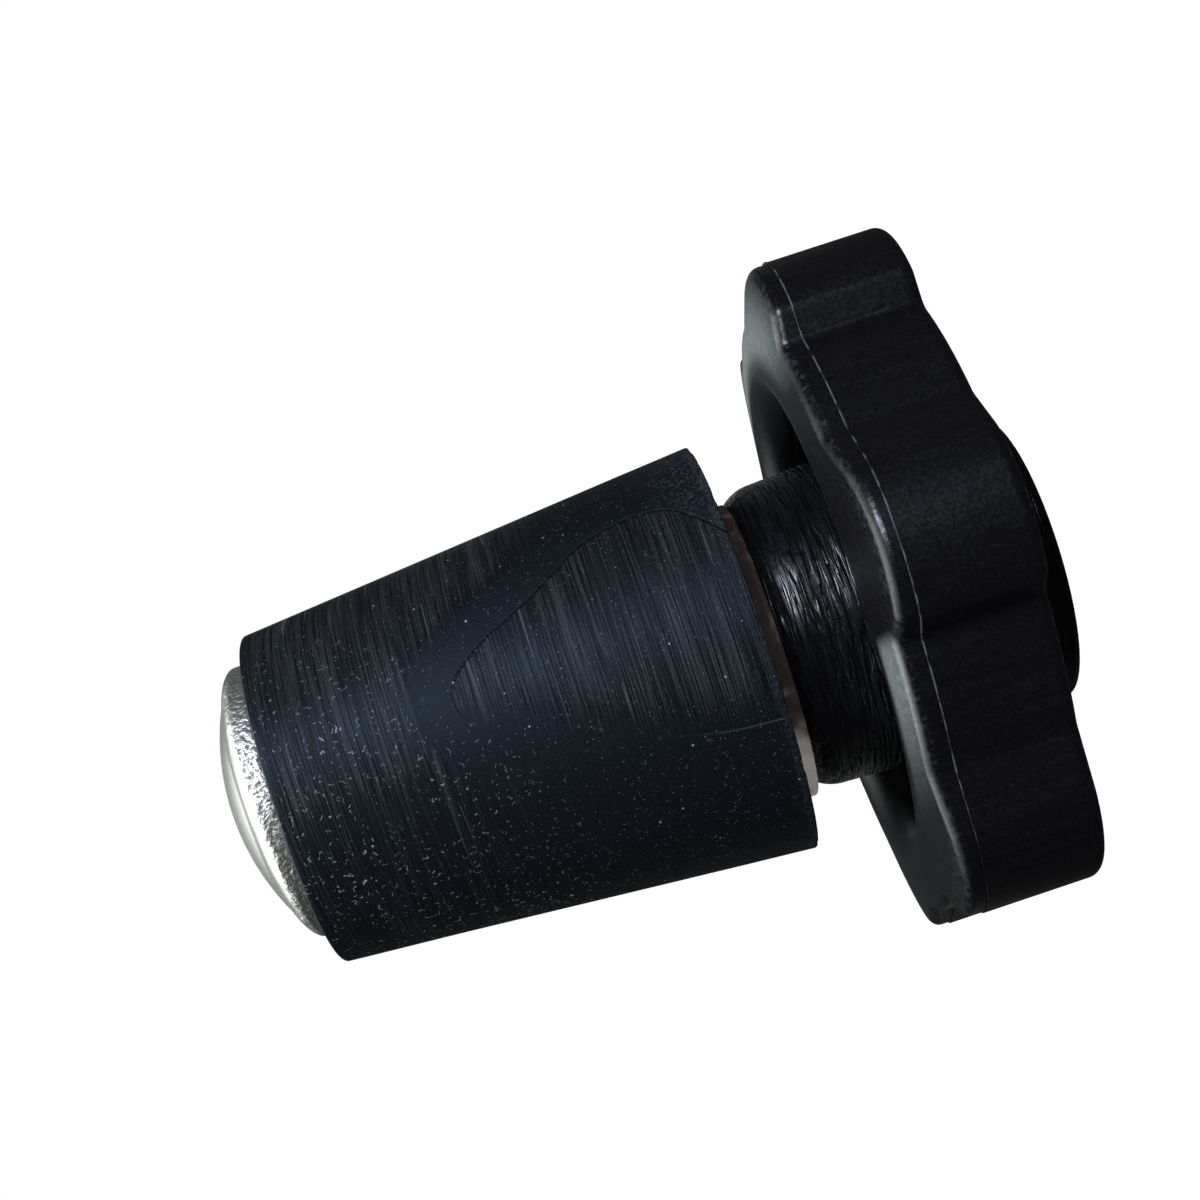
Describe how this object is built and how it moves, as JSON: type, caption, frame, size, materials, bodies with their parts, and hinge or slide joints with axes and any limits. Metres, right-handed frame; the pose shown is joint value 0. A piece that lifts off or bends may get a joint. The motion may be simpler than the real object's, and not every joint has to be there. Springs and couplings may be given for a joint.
{
  "type": "expanding drain plug",
  "caption": "Tapered rubber bung on a domed carriage bolt, squeezed by a lobed hand knob to seal a boat's drain hole.",
  "frame": {"origin": "centre of the end face of the knob's rear boss, which the plug stands on", "axes": "+Z along the plug's axis, from the hand knob to the bolt's head; -Y is the side that the picture shows"},
  "size_m": [0.048, 0.0514, 0.0601],
  "materials": {
    "bung_rubber": "ground satin",
    "bolt_steel": "satin",
    "washer_steel": "satin",
    "nut_steel": "satin",
    "knob_plastic": "moulded semi-gloss"
  },
  "bodies": {
    "plug": {"carriage_bolt": "bolt_steel", "rubber_bung": "bung_rubber"},
    "washer": {"pressure_washer": "washer_steel"},
    "knob": {"hand_knob": "knob_plastic", "knob_nut": "nut_steel"}
  },
  "joints": [
    {"name": "squeeze", "type": "slide", "parent": "plug", "child": "washer", "axis": [0, 0, 1], "range_m": [0, 0.00375], "deforming": ["rubber_bung"]},
    {"name": "knob_turn", "type": "hinge", "parent": "washer", "child": "knob", "pos_m": [0, 0, 0.00985], "axis": [0, 0, 1], "range_deg": [0, 1080]}
  ],
  "couplings": [
    {"joint": "squeeze", "follows": "knob_turn", "m_per_rad": 0.00019894}
  ]
}
